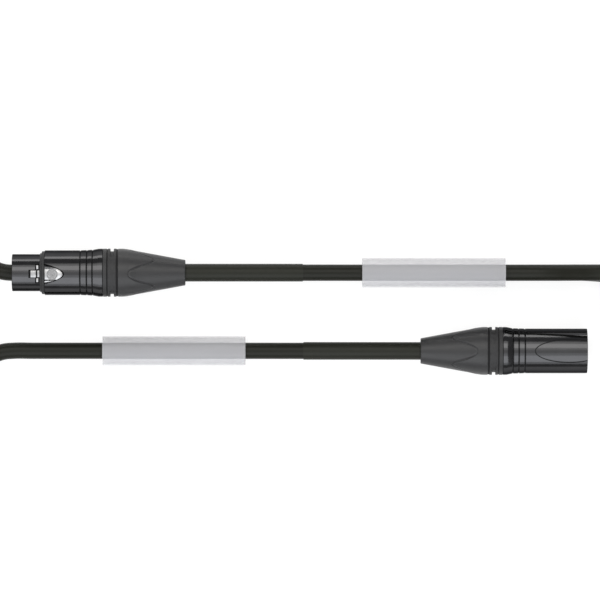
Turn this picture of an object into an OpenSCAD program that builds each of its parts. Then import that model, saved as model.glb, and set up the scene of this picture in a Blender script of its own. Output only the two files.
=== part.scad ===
// A two metre microphone cable with a female and a male three-pole connector.
// The cable lies on a flat surface, z = 0. X runs along both connectors, Z is up.
// The female faces -X and the male faces +X. The spare length is tied in a hank beyond the male.
// In each connector, s is the distance behind its front face and +Z is the latch side.

/* [Cable] */
// Outer diameter of the cable
cable_d = 6.9; // [6.4:0.1:7.2]
// Wall of the shrink sleeve behind each connector
sleeve_wall = 0.2; // [0.15:0.01:0.25]
// Length of the shrink sleeve past the boot
sleeve_len = 50; // [30:1:52]
// Outer diameter of the clear label tube
label_d = 12.5; // [12:0.1:14]
// Wall of the clear label tube
label_wall = 0.5; // [0.4:0.05:0.7]
// Length of the clear label tube
label_len = 61.2; // [50:0.5:62]
// Distance from the female's boot to its label tube
female_label_gap = 75.4; // [58:0.2:78]
// Distance from the male's boot to its label tube
male_label_gap = 74.8; // [58:0.2:78]

/* [Connector bodies] */
// Outer diameter of the female nose
nose_d = 15.85; // [15.7:0.01:15.9]
// Length of the female nose up to the front ring
nose_len = 11.9; // [11.8:0.1:12.5]
// Width of the front ring
front_ring_w = 1.95; // [1.6:0.05:2.2]
// Outer diameter of both shells
shell_d = 19.1; // [18.8:0.1:19.6]
// Wall of both shells behind the nose
shell_wall = 1.2; // [1:0.05:1.3]
// Outer diameter of the collar, the coding ring and the boot's wide end
collar_d = 20.5; // [20.1:0.1:21]
// Length of the female shell
female_len = 38.65; // [38:0.05:41]
// Inner diameter of the male socket
socket_d = 16.1; // [16:0.01:16.2]
// Depth of the male socket
socket_depth = 16; // [15.5:0.1:16.5]
// Thickness of the male insert
male_insert_t = 5.35; // [5:0.05:6.5]
// Turn of the female connector about its own axis, in degrees
female_roll = 4; // [0:1:6]

/* [Contacts] */
// Distance of each contact from the connector axis
contact_circle_r = 4.1; // [4:0.05:4.2]
// Diameter of a male pin
pin_d = 2.39; // [2.3:0.01:2.42]
// Clearance around a male pin in its socket, on the radius
pin_fit = 0.025; // [0.02:0.005:0.05]
// Outer diameter of a female contact
contact_d = 3.2; // [3.1:0.05:3.3]
// Length of a male pin in front of its insert
pin_reach = 13.4; // [12:0.1:14]

/* [Latch] */
// Height of the lever's underside above the connector axis
lever_z = 5.75; // [5.7:0.05:5.8]
// Thickness of the lever's arm
lever_t = 0.8; // [0.6:0.05:0.85]
// Half width of the lever's arm
lever_half_w = 1.4; // [1.2:0.05:1.5]
// Width of the latch window at its front
arch_w = 8.4; // [8:0.1:8.6]
// Length of the latch window
arch_len = 8; // [7.5:0.1:8.2]
// Gap around the latch in its windows
latch_gap = 0.35; // [0.3:0.05:0.4]
// Diameter of the latch pivot pin
pivot_d = 1.5; // [1.3:0.05:1.6]

/* [Rear hardware] */
// Thickness of the gland's flange
flange_t = 1.6; // [1.4:0.05:1.8]
// Width of the coding ring
ring_w = 3.6; // [3:0.1:4]
// Gap on each side of the coding ring
ring_gap = 0.45; // [0.35:0.05:0.6]
// Width of the two notches in the coding ring
notch_w = 1.55; // [1.2:0.05:1.8]
// Half height of each notch, from the connector axis
notch_half = 7.2; // [5:0.1:8]
// Length of the boot
boot_len = 28.95; // [27:0.05:31]
// Outer diameter of the boot's narrow end
boot_tail_d = 10.7; // [10.4:0.1:12]
// Radial gap between the gland's thread and the shell
thread_gap = 0.1; // [0.08:0.01:0.14]

/* [Hank] */
// Height from one layer of the hank to the next
layer_step = 7.5; // [7.4:0.05:7.8]
// Radius of the tightest fold
fold_r = 20.7; // [20.7:0.1:21.5]
// Widening of the turns, per turn
turn_step = 1.84; // [0:0.02:2]
// Distance from the centre to each side of the bundle at its waist
waist_half = 5.5; // [5:0.1:6]
// Width of the tie
tie_w = 18; // [14:1:20]
// Thickness of the tie
tie_t = 1.8; // [1.5:0.1:2]

/* [Hidden] */

$fn = 64;
sides = 12;                 // sides of a free cord
form_sides = 6;             // sides of the hank's cord
cable_r = cable_d / 2;

// Clearances
slip = 0.05;                // rigid pieces that slide into each other
loose = 0.1;                // plastic pieces that drop into the metal shell
soft_gap = 0.3;             // between what lies on something and its support
eps = 0.01;

// Where each connector lies
front_x = 122.65;
lead_y = 16.7;
male_z = collar_d / 2;
female_z = cable_d + soft_gap + collar_d / 2;

// Stations along a connector
nose_r = nose_d / 2;
nose_guide = 6.6;           // length of the nose's guide land
nose_relief = 0.16;         // how much smaller the nose is behind its land, and the socket wider
nose_wall = 0.8;
nose_bore_r = nose_r - nose_wall;
seat_r = nose_r - nose_relief;
body_s = nose_len + front_ring_w + slip;
shell_r = shell_d / 2;
collar_r = collar_d / 2;
bore_r = shell_r - shell_wall;
bore_s = body_s + 0.9;      // where the wide bore starts inside the female body
face_s = 0.9;               // how far the female insert lies behind the nose
insert_rear = 14.65;        // rear face of an insert, ahead of the shell's rear
skirt_rear = 11.25;         // rear edge of an insert's skirt, likewise
skirt_wall = 0.9;
insert_r = bore_r - 2 * loose;
cup_rear = 12.65;           // rear end of a solder cup, likewise
jacket_front = 9.5;         // front end of the cable jacket, likewise
tail_s = flange_t + 2 * ring_gap + ring_w + boot_len + loose; // boot's tail behind the shell
male_len = socket_depth + male_insert_t + insert_rear;
socket_step = 1.6;          // how far the socket's wide bore reaches round the insert
spring_t = 1.2;             // half width of a ground spring
pocket_gap = 0.2;           // between a ground spring and the end of its pocket

// Rear hardware, from the shell's rear face
flange_s = loose;
ring_s = flange_s + flange_t + ring_gap;
boot_s = ring_s + ring_w + ring_gap;
thread_len = 8.15;
thread_r = bore_r - thread_gap;
neck_r = 8.1;
core_r = 7.5;
core_len = 9;
gland_bore_r = 5.6;
chuck_r = gland_bore_r - 0.2;
sleeve_in = (cable_r + 0.02) / cos(180 / sides); // corners of the sleeve's inside
sleeve_out = sleeve_in + sleeve_wall;
tail_bore_r = sleeve_out + 0.2;

// Latch
window_front = 6.9;         // front edge of the hook's window
window_rear = 11.65;        // rear edge of the two windows in the nose
wing_half = 3.65;
wing_s = 10.1;
wing_w = 1.1;
pivot_s = body_s + arch_len + 0.3;
pivot_z = lever_z + 0.15;
lug_r = 1.15;
lug_half = 2.2;
coil_half = 1.2;
pin_half = 4.9;
channel_floor = 4.35;
pad_r = shell_r - 0.2;      // the pad's top follows the shell a little below it

contact_angles = [145, 35, 270];
male_angles = [35, 145, 270];
female_contact_r = pin_d / 2 + pin_fit;

// Cord routes: x, y and the height of the cord's underside above the surface
female_route = [
    [-35, 16.7, 14], [-21, 16.7, 13.6], [-7, 16.7, 12.8], [7, 16.7, 11.6],
    [21, 16.7, 10.4], [35, 16.7, 9.3], [49, 16.7, 8.4], [63, 16.7, 8.1], [78, 16.7, 8.1],
    [92, 16.7, 8.1], [101, 16.7, 9], [110, 16.7, 11.8], [119, 16.7, 16], [128, 16.7, 20],
    [137, 16.7, 22.2], [147, 16.4, 22.7], [160, 15.2, 22.8], [174, 12.5, 22.6], [187, 8.8, 22.3],
    [198, 6.3, 22.1]
];
return_route = [
    [-127.5, -17.2, 0], [-131.9, -18.7, 0], [-140.8, -20.7, 0],
    [-149.8, -18.6, 0], [-157.1, -12.7, 0], [-160.9, -4.7, 0], [-160.9, 4.7, 0],
    [-157.1, 12.7, 0], [-149.8, 18.6, 0], [-140.8, 20.7, 0], [-131.9, 18.7, 0],
    [-127.5, 17.2, 0], [-123, 16.7, 0], [-104, 16.7, 0], [-84, 16.7, 0], [-64, 16.7, 0],
    [-44, 16.7, 0], [-24, 16.7, 0], [-4, 16.7, 0], [16, 16.7, 0], [36, 16.7, 0],
    [56, 16.7, 0], [76, 16.7, 0], [96, 16.7, 0], [110, 16.7, 0], [122, 16.7, 0],
    [134, 15.5, 0], [146, 12.4, 0], [158, 8.1, 0], [170, 3.4, 0], [182, -0.9, 0.5],
    [194, -4.1, 1.6], [200, -5.2, 2.2]
];
male_route = [
    [38, -16.7, 6.8], [24, -16.7, 6.4], [10, -16.7, 5.6], [-4, -16.7, 4.4],
    [-18, -16.7, 3.2], [-32, -16.7, 2.1], [-46, -16.7, 1.2], [-60, -16.7, 0.9],
    [-78, -16.7, 0.9], [-94, -16.7, 0.9], [-104, -16.7, 0.4], [-114, -16.7, 0],
    [-123, -16.7, 0]
];

// Hank, in plan a racetrack drawn in at its waist
hank_left = 156.5;          // centre of the left folds
hank_right = 276.3;          // centre of the right folds
waist_x = (hank_left + hank_right) / 2;
waist_lift = 2.5;           // lets the tie pass under the bundle
straight = tie_w / 2 + 1;   // the bundle is straight this far each side of the waist
end_x = waist_x - straight; // both ends of the hank
fold_steps = 7;
folds = 5;

// ---------- shapes that repeat ----------

// A turned piece: points are [s, r] around the connector's axis
module turned(points) {
    rotate([0, 90, 0])
        rotate([0, 0, 180])
            rotate_extrude($fn = 96)
                polygon([for (p = points) [p[1], p[0]]]);
}

module rod(s, length, r, y = 0, z = 0) {
    translate([s, y, z]) rotate([0, 90, 0]) cylinder(h = length, r = r);
}

module cross_rod(s, z, r, half) {
    translate([s, half, z]) rotate([90, 0, 0]) cylinder(h = 2 * half, r = r);
}

module block(s0, s1, half, z0, z1) {
    translate([s0, -half, z0]) cube([s1 - s0, 2 * half, z1 - z0]);
}

module at_female() {
    translate([-front_x, lead_y, female_z]) rotate([female_roll, 0, 0]) children();
}

module at_male() {
    translate([front_x, -lead_y, male_z]) rotate([0, 0, 180]) children();
}

module at_contact(angle) {
    translate([0, contact_circle_r * cos(angle), contact_circle_r * sin(angle)]) children();
}

// A tube of flat sides swept along points, with square ends
function unit(v) = v / norm(v);
function lifted(route) = [for (p = route) [p[0], p[1], p[2] + cable_r]];
function heading(path, i, first, last) =
    i == 0 ? first : i == len(path) - 1 ? last : unit(unit(path[i + 1] - path[i]) + unit(path[i] - path[i - 1]));
function ring_at(centre, along, r, n) =
    let (side = unit(cross([0, 0, 1], along)), up = cross(along, side))
    [for (k = [0:n - 1]) let (a = 360 * k / n - 90) centre + r * (cos(a) * side + sin(a) * up)];

module swept(path, r, n, first, last) {
    count = len(path);
    rings = [for (i = [0:count - 1]) each ring_at(path[i], heading(path, i, first, last), r, n)];
    walls = [
        for (i = [0:count - 2], k = [0:n - 1])
            let (a = i * n + k, b = i * n + (k + 1) % n)
            each [[a, b, a + n], [b, b + n, a + n]]
    ];
    front = [for (k = [1:n - 2]) [0, k + 1, k]];
    back = [for (k = [1:n - 2]) [0, k, k + 1] + (count - 1) * n * [1, 1, 1]];
    polyhedron([for (p = rings) p], [for (f = concat(walls, front, back)) [f[2], f[1], f[0]]]);
}

// ---------- female connector ----------

module nose_windows() {
    block(window_front, window_rear, lever_half_w + latch_gap, 3, shell_r);
    block(wing_s - latch_gap, window_rear, wing_half + latch_gap, 3, shell_r);
}

// The arch narrows to its tip as the root of the distance to it
module arch(front, length, half) {
    steps = 12;
    curve = [for (k = [steps:-1:0]) let (u = k / steps) [front + length * (1 - u * u), half * u]];
    translate([0, 0, 3])
        linear_extrude(shell_r)
            polygon(concat([for (p = curve) [p[0], -p[1]]], [for (k = [1:steps]) curve[steps - k]]));
}

module shell_groove(s, r) {
    turned([[s - 0.18, r - 0.2], [s + 0.18, r - 0.2], [s + 0.18, r + 1], [s - 0.18, r + 1]]);
}

module female_shell() {
    flare_s = female_len - 10;
    full_s = female_len - 1.8;
    color("#3a3b3e")
        at_female()
            difference() {
                turned([
                    [0, nose_bore_r], [0, nose_r - 0.35], [0.3, nose_r],
                    [nose_guide, nose_r], [nose_guide, seat_r], [body_s, seat_r],
                    [body_s, shell_r - 0.15], [body_s + 0.15, shell_r], [flare_s, shell_r],
                    [flare_s + 3, shell_r + 0.14], [full_s - 1, collar_r - 0.08], [full_s, collar_r],
                    [female_len, collar_r], [female_len, bore_r], [bore_s, bore_r], [bore_s, nose_bore_r]
                ]);
                nose_windows();
                arch(body_s - eps, arch_len, arch_w / 2);
                shell_groove(female_len - 9.9, shell_r);
                shell_groove(female_len - 7.1, shell_r + 0.13);
                shell_groove(female_len - 4.4, shell_r + 0.4);
            }
}

module female_front_ring() {
    color("#4a4a4c")
        at_female()
            turned([
                [nose_len, seat_r + slip], [nose_len, nose_r + 0.3], [nose_len + 0.75, nose_r + 0.35],
                [nose_len + 0.75, shell_r - 0.7], [nose_len + 1.1, shell_r - 0.4],
                [nose_len + front_ring_w, shell_r - 0.4], [nose_len + front_ring_w, seat_r + slip]
            ]);
}

module female_insert() {
    rear = female_len - insert_rear;
    skirt = female_len - skirt_rear;
    front_r = nose_bore_r - loose;
    hole_r = female_contact_r + 0.2;
    color("#232325")
        at_female()
            difference() {
                turned([
                    [face_s, 0], [face_s, front_r - 0.3], [face_s + 0.3, front_r], [bore_s + loose, front_r],
                    [bore_s + loose, insert_r], [skirt, insert_r], [skirt, insert_r - skirt_wall],
                    [rear, insert_r - skirt_wall], [rear, 0]
                ]);
                for (angle = contact_angles)
                    at_contact(angle) {
                        rod(face_s - 1, 3, hole_r);
                        rod(face_s + 1.5, rear, contact_d / 2 + slip);
                    }
                block(window_front - 0.6, pivot_s - 2.2, arch_w / 2 + 0.15, channel_floor, shell_r);
                block(pivot_s - 2.3, rear + 5, lug_half + 0.3, channel_floor, shell_r);
                cross_rod(pivot_s, pivot_z, pivot_d / 2 + eps, shell_r);
                spring_pocket(bore_s + 0.3, 7);
            }
}

// A closed socket in front, a solid middle and an open cup for the wire behind
module female_contact(angle) {
    mouth = face_s + 1.6;
    cup = female_len - cup_rear;
    color("#d9cfae")
        at_female()
            at_contact(angle)
                difference() {
                    rod(mouth, cup - mouth, contact_d / 2);
                    rod(mouth - 1, 14.5, female_contact_r);
                    rod(cup - 5, 6, 1);
                    translate([cup - 4, -2, 0.4]) cube([5, 4, 3]);
                }
}

module female_contact_1() { female_contact(contact_angles[0]); }
module female_contact_2() { female_contact(contact_angles[1]); }
module female_contact_3() { female_contact(contact_angles[2]); }

// Thin strip between an insert and the bottom of the shell, in a pocket of the insert
module ground_spring(pocket_s, pocket_len) {
    color("#c9cbd0")
        block(pocket_s + pocket_gap, pocket_s + pocket_len - pocket_gap, spring_t, -bore_r + 0.12, -insert_r + 0.3);
}

module spring_pocket(s, length) { block(s, s + length, spring_t + 2 * pocket_gap, -shell_r, -insert_r + 0.8); }

module female_ground_spring() { at_female() ground_spring(bore_s + 0.3, 7); }

module latch_lever() {
    arm_top = lever_z + lever_t;
    hook_s = window_front + latch_gap + 0.35;
    pad_s = body_s + latch_gap / 2;
    pad_len = arch_len - latch_gap;
    color("#d8d8da")
        at_female()
            difference() {
                union() {
                    block(hook_s, pad_s + 1, lever_half_w, lever_z, arm_top);
                    translate([hook_s, lever_half_w, lever_z])
                        rotate([90, 0, 0])
                            linear_extrude(2 * lever_half_w)
                                polygon([
                                    [0, lever_t / 2], [0.5, nose_r - lever_z - 0.1], [1.2, nose_r - lever_z + 0.75],
                                    [2.1, nose_r - lever_z + 0.85], [2.4, nose_r - lever_z + 0.6], [2.4, 0]
                                ]);
                    block(wing_s + 0.3, window_rear - latch_gap, lever_half_w, lever_z, nose_r - 0.45);
                    block(wing_s, wing_s + wing_w, wing_half, lever_z, arm_top + 0.1);
                    block(wing_s, pad_s + 1, 2.4, lever_z, arm_top - 0.1);
                    intersection() {
                        translate([0, 0, lever_z - 3])
                            arch(pad_s, pad_len, arch_w / 2 - latch_gap);
                        rod(pad_s - 1, pad_len + 3, pad_r);
                    }
                    translate([body_s + 3.05, 0, lever_z + 1]) cylinder(h = pad_r + 0.25 - lever_z - 1, r = 2.15);
                    cross_rod(pivot_s, pivot_z, lug_r, lug_half);
                    block(pivot_s - 2, pivot_s, lug_half, lever_z, lever_z + 1.2);
                }
                cross_rod(pivot_s, pivot_z, pivot_d / 2 + slip, lug_half + 1);
                cross_rod(pivot_s, pivot_z, lug_r + 0.45, coil_half + 0.2);
                block(pivot_s, pivot_s + 3, coil_half + 0.2, 3, shell_r);
            }
}

module latch_pin() {
    color("#c9cbd0") at_female() cross_rod(pivot_s, pivot_z, pivot_d / 2, pin_half);
}

// Coil around the pivot pin, with a leg that reaches forward under the lever
module latch_spring() {
    coil_r = pivot_d / 2 + slip;
    color("#b9bcc2")
        at_female() {
            difference() {
                cross_rod(pivot_s, pivot_z, coil_r + 0.4, coil_half);
                cross_rod(pivot_s, pivot_z, coil_r, coil_half + 1);
            }
            translate([pivot_s - 3.4, coil_half - 0.45, pivot_z - coil_r - 0.4])
                cube([3.5, 0.4, 0.4]);
        }
}

// ---------- male connector ----------

module male_shell() {
    shoulder_s = male_len - 4.4;
    seat = socket_depth + socket_step;
    land = 2.1;
    wide_r = socket_d / 2 + nose_relief;
    color("#3a3b3e")
        at_male()
            difference() {
                turned([
                    [0.2, socket_d / 2], [0, socket_d / 2 + 0.25], [0, shell_r - 0.2], [0.2, shell_r],
                    [shoulder_s, shell_r], [shoulder_s + 1, shell_r + 0.1], [shoulder_s + 2.2, collar_r - 0.1],
                    [shoulder_s + 2.8, collar_r], [male_len, collar_r], [male_len, bore_r], [seat, bore_r],
                    [seat, wide_r], [land, wide_r], [land, socket_d / 2]
                ]);
                block(land + 0.1, socket_depth - 5, 1.9, 0, shell_r - 0.7);
                for (behind = [0, 2.6, 5.2]) shell_groove(shoulder_s - behind, shell_r);
            }
}

module male_insert() {
    rear = male_len - insert_rear;
    skirt = male_len - skirt_rear;
    front_r = socket_d / 2 + nose_relief - loose;
    step = socket_depth + socket_step + loose;
    color("#232325")
        at_male()
            difference() {
                turned([
                    [socket_depth, 0], [socket_depth, front_r], [step, front_r],
                    [step, insert_r], [skirt, insert_r], [skirt, insert_r - skirt_wall],
                    [rear, insert_r - skirt_wall], [rear, 0]
                ]);
                for (angle = male_angles)
                    at_contact(angle) {
                        rod(socket_depth - 1, 10, pin_d / 2 - nose_relief + eps);
                        rod(socket_depth + 1.4, 10, contact_d / 2 + eps);
                    }
                spring_pocket(step + 0.5, rear - step - 0.9);
            }
}

module male_pin(angle) {
    tip = socket_depth - pin_reach;
    neck = socket_depth - loose;
    collar = socket_depth + 1.5;
    cup = male_len - cup_rear;
    color("#d9cfae")
        at_male()
            at_contact(angle)
                difference() {
                    turned([
                        [tip, 0], [tip, pin_d / 2 - 0.5], [tip + 0.5, pin_d / 2], [neck, pin_d / 2],
                        [neck, pin_d / 2 - nose_relief], [collar, pin_d / 2 - nose_relief],
                        [collar, contact_d / 2], [cup, contact_d / 2], [cup, 0]
                    ]);
                    rod(cup - 3, 4, 1);
                    translate([cup - 1.8, -2, 0.4]) cube([3, 4, 3]);
                }
}

module male_pin_1() { male_pin(male_angles[0]); }
module male_pin_2() { male_pin(male_angles[1]); }
module male_pin_3() { male_pin(male_angles[2]); }

module male_ground_spring() {
    step = socket_depth + socket_step + loose;
    at_male() ground_spring(step + 0.5, male_len - insert_rear - step - 0.9);
}

// ---------- rear hardware, alike on both connectors ----------

// Slotted clamp that the gland squeezes onto the cable
module chuck(rear) {
    flange = rear - skirt_rear + loose;
    taper = rear - 1.5;
    tip = rear + 2.5;
    grip_r = cable_r + slip;
    color("#8f9094")
        difference() {
            turned([
                [flange, grip_r], [flange, insert_r - loose], [flange + 1.5, insert_r - loose], [flange + 1.5, chuck_r],
                [taper, chuck_r], [tip, chuck_r - 1.1], [tip, grip_r]
            ]);
            for (turn = [0, 90]) rotate([turn, 0, 0]) block(flange + 3, tip + 1, 0.4, -shell_r, shell_r);
        }
}

// Threaded piece that screws into the shell, carries the coding ring and is moulded into the boot
module gland(rear) {
    front = rear - thread_len;
    core_end = rear + boot_s + core_len;
    color("#3c3c3e")
        turned([
            [front, gland_bore_r], [front, thread_r - 0.3], [front + 0.3, thread_r], [rear + flange_s, thread_r],
            [rear + flange_s, collar_r - 0.1], [rear + flange_s + 0.1, collar_r],
            [rear + flange_s + flange_t - 0.1, collar_r], [rear + flange_s + flange_t, collar_r - 0.1],
            [rear + flange_s + flange_t, neck_r], [rear + boot_s, neck_r], [rear + boot_s, core_r],
            [core_end, core_r], [core_end, chuck_r - 0.9], [rear + 3, chuck_r - 0.9],
            [rear - 1.3, gland_bore_r]
        ]);
}

module coding_ring(rear) {
    s = rear + ring_s;
    middle = s + ring_w / 2;
    floor_r = collar_r - 1.15;
    color("#4c4c4e")
        difference() {
            turned([
                [s, neck_r + loose], [s, collar_r - 0.15], [s + 0.15, collar_r], [s + ring_w - 0.15, collar_r],
                [s + ring_w, collar_r - 0.15], [s + ring_w, neck_r + loose]
            ]);
            difference() {
                translate([middle - notch_w / 2, -collar_r - 1, -notch_half])
                    cube([notch_w, 2 * collar_r + 2, 2 * notch_half]);
                rod(s - 1, ring_w + 2, floor_r);
            }
        }
}

module boot(rear) {
    s = rear + boot_s;
    tail = s + boot_len;
    tail_r = boot_tail_d / 2;
    core_end = s + core_len;
    color("#4b4b4d")
        turned([
            [s, core_r + slip / 2], [s, collar_r - 0.2], [s + 0.2, collar_r], [s + 2, collar_r],
            [s + 4, collar_r - 0.2], [s + 5.6, collar_r - 0.48], [s + 9, collar_r - 1.22],
            [tail - 0.15, tail_r + 0.03], [tail, tail_r - 0.12], [tail, tail_bore_r], [core_end + loose, tail_bore_r],
            [core_end + loose, core_r + slip / 2]
        ]);
}

module cable_end(rear) {
    color("#33342e") rod(rear - jacket_front, tail_s + jacket_front, cable_r);
}

// Wire from a solder cup to the jacket, where the three lie side by side
module wire(rear, angle, tint) {
    cup = rear - cup_rear;
    jacket = rear - jacket_front;
    spread = [contact_circle_r, contact_circle_r, 2.3, 1, 1];
    stations = [cup - 1.6, cup + 0.1, cup + 1.7, jacket - 0.7, jacket];
    path = [for (i = [0:4]) [stations[i], spread[i] * cos(angle), spread[i] * sin(angle)]];
    color(tint) swept(path, 0.65, 8, [1, 0, 0], [1, 0, 0]);
}

module female_chuck() { at_female() chuck(female_len); }
module female_gland() { at_female() gland(female_len); }
module female_coding_ring() { at_female() coding_ring(female_len); }
module female_boot() { at_female() boot(female_len); }
module female_cable_end() { at_female() cable_end(female_len); }
module female_wire_1() { at_female() wire(female_len, contact_angles[0], "#b8b8b8"); }
module female_wire_2() { at_female() wire(female_len, contact_angles[1], "#a83232"); }
module female_wire_3() { at_female() wire(female_len, contact_angles[2], "#e6e2da"); }

module male_chuck() { at_male() chuck(male_len); }
module male_gland() { at_male() gland(male_len); }
module male_coding_ring() { at_male() coding_ring(male_len); }
module male_boot() { at_male() boot(male_len); }
module male_cable_end() { at_male() cable_end(male_len); }
module male_wire_1() { at_male() wire(male_len, male_angles[0], "#b8b8b8"); }
module male_wire_2() { at_male() wire(male_len, male_angles[1], "#a83232"); }
module male_wire_3() { at_male() wire(male_len, male_angles[2], "#e6e2da"); }

// ---------- on the cable ----------

// The part of a path that ends at a given X, for a path that runs steadily along X
function cut_path(path, x_end) =
    let (
        way = sign(path[1][0] - path[0][0]),
        kept = [for (p = path) if (way * p[0] < way * x_end - 2) p],
        a = kept[len(kept) - 1],
        b = path[len(kept)]
    )
    concat(kept, [a + (x_end - a[0]) / (b[0] - a[0]) * (b - a)]);

module sleeve(path, way) {
    first = [way, 0, 0];
    tail = path[0];
    covered = cut_path(path, tail[0] + way * sleeve_len);
    count = len(covered);
    last = unit(covered[count - 1] - covered[count - 2]);
    middle = [for (i = [1:count - 2]) covered[i]];
    start = tail - 3.5 * first;     // it reaches into the boot
    color("#3a3c33")
        difference() {
            swept(concat([start], middle, [covered[count - 1]]), sleeve_out, sides, first, last);
            swept(concat([start - first], middle, [covered[count - 1] + 2 * last]), sleeve_in, sides, first, last);
        }
}

module female_sleeve() { sleeve(female_path, 1); }
module male_sleeve() { sleeve(male_path, -1); }

module label_tube(s0, y, support) {
    color("#d8d9dd", 0.6)
        translate([s0, y, support + label_d / 2])
            difference() {
                rod(0, label_len, label_d / 2);
                rod(-1, label_len + 2, label_d / 2 - label_wall);
            }
}

module female_label_tube() { label_tube(female_tail[0] + female_label_gap, lead_y, cable_d + soft_gap); }
module male_label_tube() { label_tube(male_tail[0] - male_label_gap - label_len, -lead_y, loose); }

module cord_female_lead() { color("#33342e") swept(female_path, cable_r, sides, [1, 0, 0], [1, 0, 0]); }
module cord_return() { color("#33342e") swept(return_path, cable_r, sides, [-1, 0, 0], [1, 0, 0]); }
module cord_male_lead() { color("#33342e") swept(male_path, cable_r, sides, [-1, 0, 0], [-1, 0, 0]); }

// Turn radius at an angle wound since the start: in to the middle, then out again
function turn_r(angle) = fold_r + turn_step * abs(angle - 90 * folds) / 360;
function draw_in(x) =
    let (away = (abs(x - waist_x) - straight) / (hank_right - waist_x - straight))
    pow(sin(90 * max(0, min(1, away))), 2);
function half_width(x, r) = waist_half + (r - waist_half) * draw_in(x);
function bump(x) = waist_lift * (1 - draw_in(x));

// Run i, counted from 0: even ones go out along -Y on one level, odd ones come back and climb
function run_point(i, x) =
    let (
        out = i % 2 == 0,
        level = floor(i / 2) + (out ? 0 : (hank_right - x) / (hank_right - hank_left)),
        y = half_width(x, turn_r(180 * i))
    )
    [x, out ? -y : y, level * layer_step + bump(x) + cable_r];

stations = [
    hank_left, (hank_left + end_x) / 2, end_x,
    waist_x + straight, (waist_x + straight + hank_right) / 2, hank_right
];

// The first and the last run reach only from the waist to the right
function run_points(i) =
    let (out = i % 2 == 0, short = i == 0 || i == folds, n = len(stations) - 1)
    [for (k = [0:n]) let (j = out ? k : n - k) if (!short || j >= 2) run_point(i, stations[j])];

// Fold i follows run i, at the right end after an even run and at the left end after an odd one
function fold_points(i) =
    let (
        out = i % 2 == 0,
        x0 = out ? hank_right : hank_left,
        z = ceil(i / 2) * layer_step + cable_r
    )
    [
        for (k = [1:fold_steps - 1])
            let (a = 180 * k / fold_steps, r = turn_r(180 * i + a))
            [x0 + (out ? 1 : -1) * r * sin(a), (out ? -1 : 1) * r * cos(a), z]
    ];

hank_path = concat([for (i = [0:folds - 1]) each concat(run_points(i), fold_points(i))], run_points(folds));
hank_start = hank_path[0];
hank_end = hank_path[len(hank_path) - 1];

// The free stretches, each from a boot or the end of the stretch before it to the next one
female_tail = [-front_x + female_len + tail_s, lead_y, female_z];
male_tail = [front_x - male_len - tail_s, -lead_y, male_z];
female_path = concat([female_tail], lifted(female_route), [hank_end]);
male_path = concat([male_tail], lifted(male_route));
return_path = concat([male_path[len(male_path) - 1]], lifted(return_route), [hank_start]);

// Length of the cord, and the least gap between parts of the hank that aren't neighbours
function length_of(path) =
    let (parts = [for (i = [0:len(path) - 2]) norm(path[i + 1] - path[i])]) parts * [for (p = parts) 1];
function finer(path, n) =
    concat(
        [for (i = [0:len(path) - 2], k = [0:n - 1]) path[i] + (path[i + 1] - path[i]) * k / n],
        [path[len(path) - 1]]
    );
dense = finer(hank_path, 3);
apart = 24;
hank_gap = min([
    for (i = [0:len(dense) - 1], j = [i + 1:len(dense) - 1])
        if (j - i > apart) norm(dense[i] - dense[j])
]) - cable_d;
echo(hank_gap = hank_gap);
echo(hank_length = length_of(hank_path));
echo(cord_length = length_of(female_path) + length_of(hank_path) + length_of(return_path) + length_of(male_path));

module cord_hank() {
    color("#33342e") swept(hank_path, cable_r, form_sides, [1, 0, 0], [-1, 0, 0]);
}

// Hook-and-loop strap around the waist of the bundle
module strap_outline(half, low, high, r) {
    translate([low + r, -half]) square([high - low - 2 * r, 2 * half]);
    translate([low, -half + r]) square([high - low, 2 * half - 2 * r]);
    for (x = [low + r, high - r], y = [-half + r, half - r]) translate([x, y]) circle(r = r, $fn = 48);
}

module hank_tie() {
    reach = waist_half + cable_r + soft_gap;
    low = waist_lift - soft_gap;
    high = hank_end[2] + cable_r + soft_gap;
    color("#26272a")
        translate([waist_x - tie_w / 2, 0, 0])
            rotate([0, -90, 0])
                mirror([0, 0, 1])
                    linear_extrude(tie_w)
                        difference() {
                            strap_outline(reach + tie_t, low - tie_t, high + tie_t, 3 + tie_t);
                            strap_outline(reach, low, high, 3);
                        }
}

female_shell();
female_front_ring();
female_insert();
female_contact_1();
female_contact_2();
female_contact_3();
female_ground_spring();
latch_lever();
latch_pin();
latch_spring();
female_chuck();
female_gland();
female_coding_ring();
female_boot();
female_cable_end();
female_wire_1();
female_wire_2();
female_wire_3();
female_sleeve();
female_label_tube();
male_shell();
male_insert();
male_pin_1();
male_pin_2();
male_pin_3();
male_ground_spring();
male_chuck();
male_gland();
male_coding_ring();
male_boot();
male_cable_end();
male_wire_1();
male_wire_2();
male_wire_3();
male_sleeve();
male_label_tube();
cord_female_lead();
cord_hank();
cord_return();
cord_male_lead();
hank_tie();
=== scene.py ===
"""A two metre microphone cable with a female and a male three-pole connector.

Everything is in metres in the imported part's own frame. X runs along both connectors, and Z is up.
Pieces of a connector are shaped in millimetres, s along its axis from the front face and +Z on the
latch side, and are then set in place with the connector's own matrix.
"""

import math

import bmesh
import bpy
from mathutils import Matrix, Vector


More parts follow.
